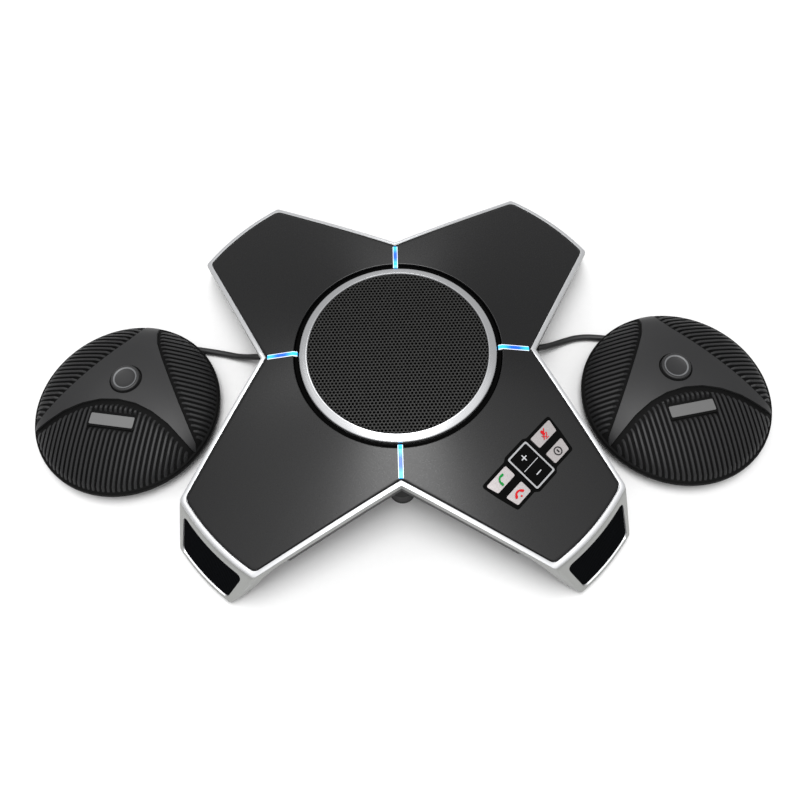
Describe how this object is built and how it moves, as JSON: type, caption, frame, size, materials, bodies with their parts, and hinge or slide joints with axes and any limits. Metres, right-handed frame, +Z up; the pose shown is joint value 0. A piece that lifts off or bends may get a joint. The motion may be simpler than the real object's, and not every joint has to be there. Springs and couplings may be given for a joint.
{
  "type": "conference speakerphone",
  "caption": "Four-armed desktop conference speakerphone with a round speaker grille, light bars, a small keypad and two domed extension microphones on short cords.",
  "frame": {"origin": "on the table, under the middle of the speaker", "axes": "+Z up, +X to the right microphone, -Y towards the front; the keypad is on the +X -Y arm"},
  "size_m": [0.413, 0.2352, 0.05],
  "materials": {
    "cover_black": "satin black moulded plastic",
    "housing_black": "fine-textured black moulded plastic",
    "gloss_black": "gloss black plastic",
    "bright_silver": "satin plated",
    "brushed_silver": "fine brushed",
    "key_silver": "satin painted",
    "grille_metal": "dark perforated sheet",
    "mic_mesh": "fine black mesh",
    "light_guide": "lit translucent light guide",
    "rubber_black": "matt rubber",
    "cord_pvc": "satin PVC jacket",
    "circuit_board": "green solder mask",
    "steel": "bare metal",
    "cone_paper": "pressed paper",
    "rib_black": "satin ribbed plastic",
    "saddle_grey": "satin dark grey plastic",
    "nameplate_silver": "satin"
  },
  "bodies": {
    "root": {"rim_frame": "bright_silver", "mic_window_rear_right": "mic_mesh", "mic_capsule_rear_right": "steel", "mic_window_rear_left": "mic_mesh", "mic_capsule_rear_left": "steel", "mic_window_front_left": "mic_mesh", "mic_capsule_front_left": "steel", "mic_window_front_right": "mic_mesh", "mic_capsule_front_right": "steel", "keypad_bezel": "gloss_black", "volume_frame": "bright_silver", "key_mat": "rubber_black", "key_board": "circuit_board", "top_cover": "cover_black", "light_bar_right": "light_guide", "light_bar_rear": "light_guide", "light_bar_left": "light_guide", "light_bar_front": "light_guide", "recess_ring": "gloss_black", "grille_ring": "brushed_silver", "speaker_grille": "grille_metal", "speaker_driver": "steel", "speaker_cone": "cone_paper", "lower_housing": "housing_black", "usb_socket": "steel", "audio_socket": "steel", "housing_screw_rear_right": "steel", "housing_screw_rear_left": "steel", "housing_screw_front_left": "steel", "housing_screw_front_right": "steel", "foot_right": "rubber_black", "foot_rear": "rubber_black", "foot_left": "rubber_black", "foot_front": "rubber_black", "main_board": "circuit_board", "mic_pad_left": "rubber_black", "mic_base_left": "housing_black", "mic_shell_left": "rib_black", "mic_saddle_left": "saddle_grey", "mic_nameplate_left": "nameplate_silver", "mic_board_left": "circuit_board", "mic_gland_left": "rubber_black", "mic_cord_left": "cord_pvc", "mic_plug_left": "rubber_black", "mic_pad_right": "rubber_black", "mic_base_right": "housing_black", "mic_shell_right": "rib_black", "mic_saddle_right": "saddle_grey", "mic_nameplate_right": "nameplate_silver", "mic_board_right": "circuit_board", "mic_gland_right": "rubber_black", "mic_cord_right": "cord_pvc", "mic_plug_right": "rubber_black"},
    "mute_key": {"mute_key": "key_silver"},
    "power_key": {"power_key": "key_silver"},
    "answer_key": {"answer_key": "key_silver"},
    "hangup_key": {"hangup_key": "key_silver"},
    "volume_rocker": {"volume_rocker": "gloss_black"},
    "mic_button_left": {"mic_button_left": "saddle_grey"},
    "mic_button_right": {"mic_button_right": "saddle_grey"}
  },
  "joints": [
    {"name": "mute_key_press", "type": "slide", "parent": "root", "child": "mute_key", "axis": [-0.1605, 0.1605, -0.9739], "range_m": [0, 0.0006], "stiffness_N_per_m": 1500},
    {"name": "power_key_press", "type": "slide", "parent": "root", "child": "power_key", "axis": [-0.1605, 0.1605, -0.9739], "range_m": [0, 0.0006], "stiffness_N_per_m": 1500},
    {"name": "answer_key_press", "type": "slide", "parent": "root", "child": "answer_key", "axis": [-0.1605, 0.1605, -0.9739], "range_m": [0, 0.0006], "stiffness_N_per_m": 1500},
    {"name": "hangup_key_press", "type": "slide", "parent": "root", "child": "hangup_key", "axis": [-0.1605, 0.1605, -0.9739], "range_m": [0, 0.0006], "stiffness_N_per_m": 1500},
    {"name": "volume_rock", "type": "hinge", "parent": "root", "child": "volume_rocker", "pos_m": [0.06395, -0.06282, 0.03925], "axis": [0.7071, 0.7071, 0], "range_deg": [-2.5, 2.5], "stiffness_Nm_per_rad": 0.5},
    {"name": "mic_button_left_press", "type": "slide", "parent": "root", "child": "mic_button_left", "axis": [0, 0, -1], "range_m": [0, 0.0007], "stiffness_N_per_m": 1500},
    {"name": "mic_button_right_press", "type": "slide", "parent": "root", "child": "mic_button_right", "axis": [0, 0, -1], "range_m": [0, 0.0007], "stiffness_N_per_m": 1500}
  ]
}
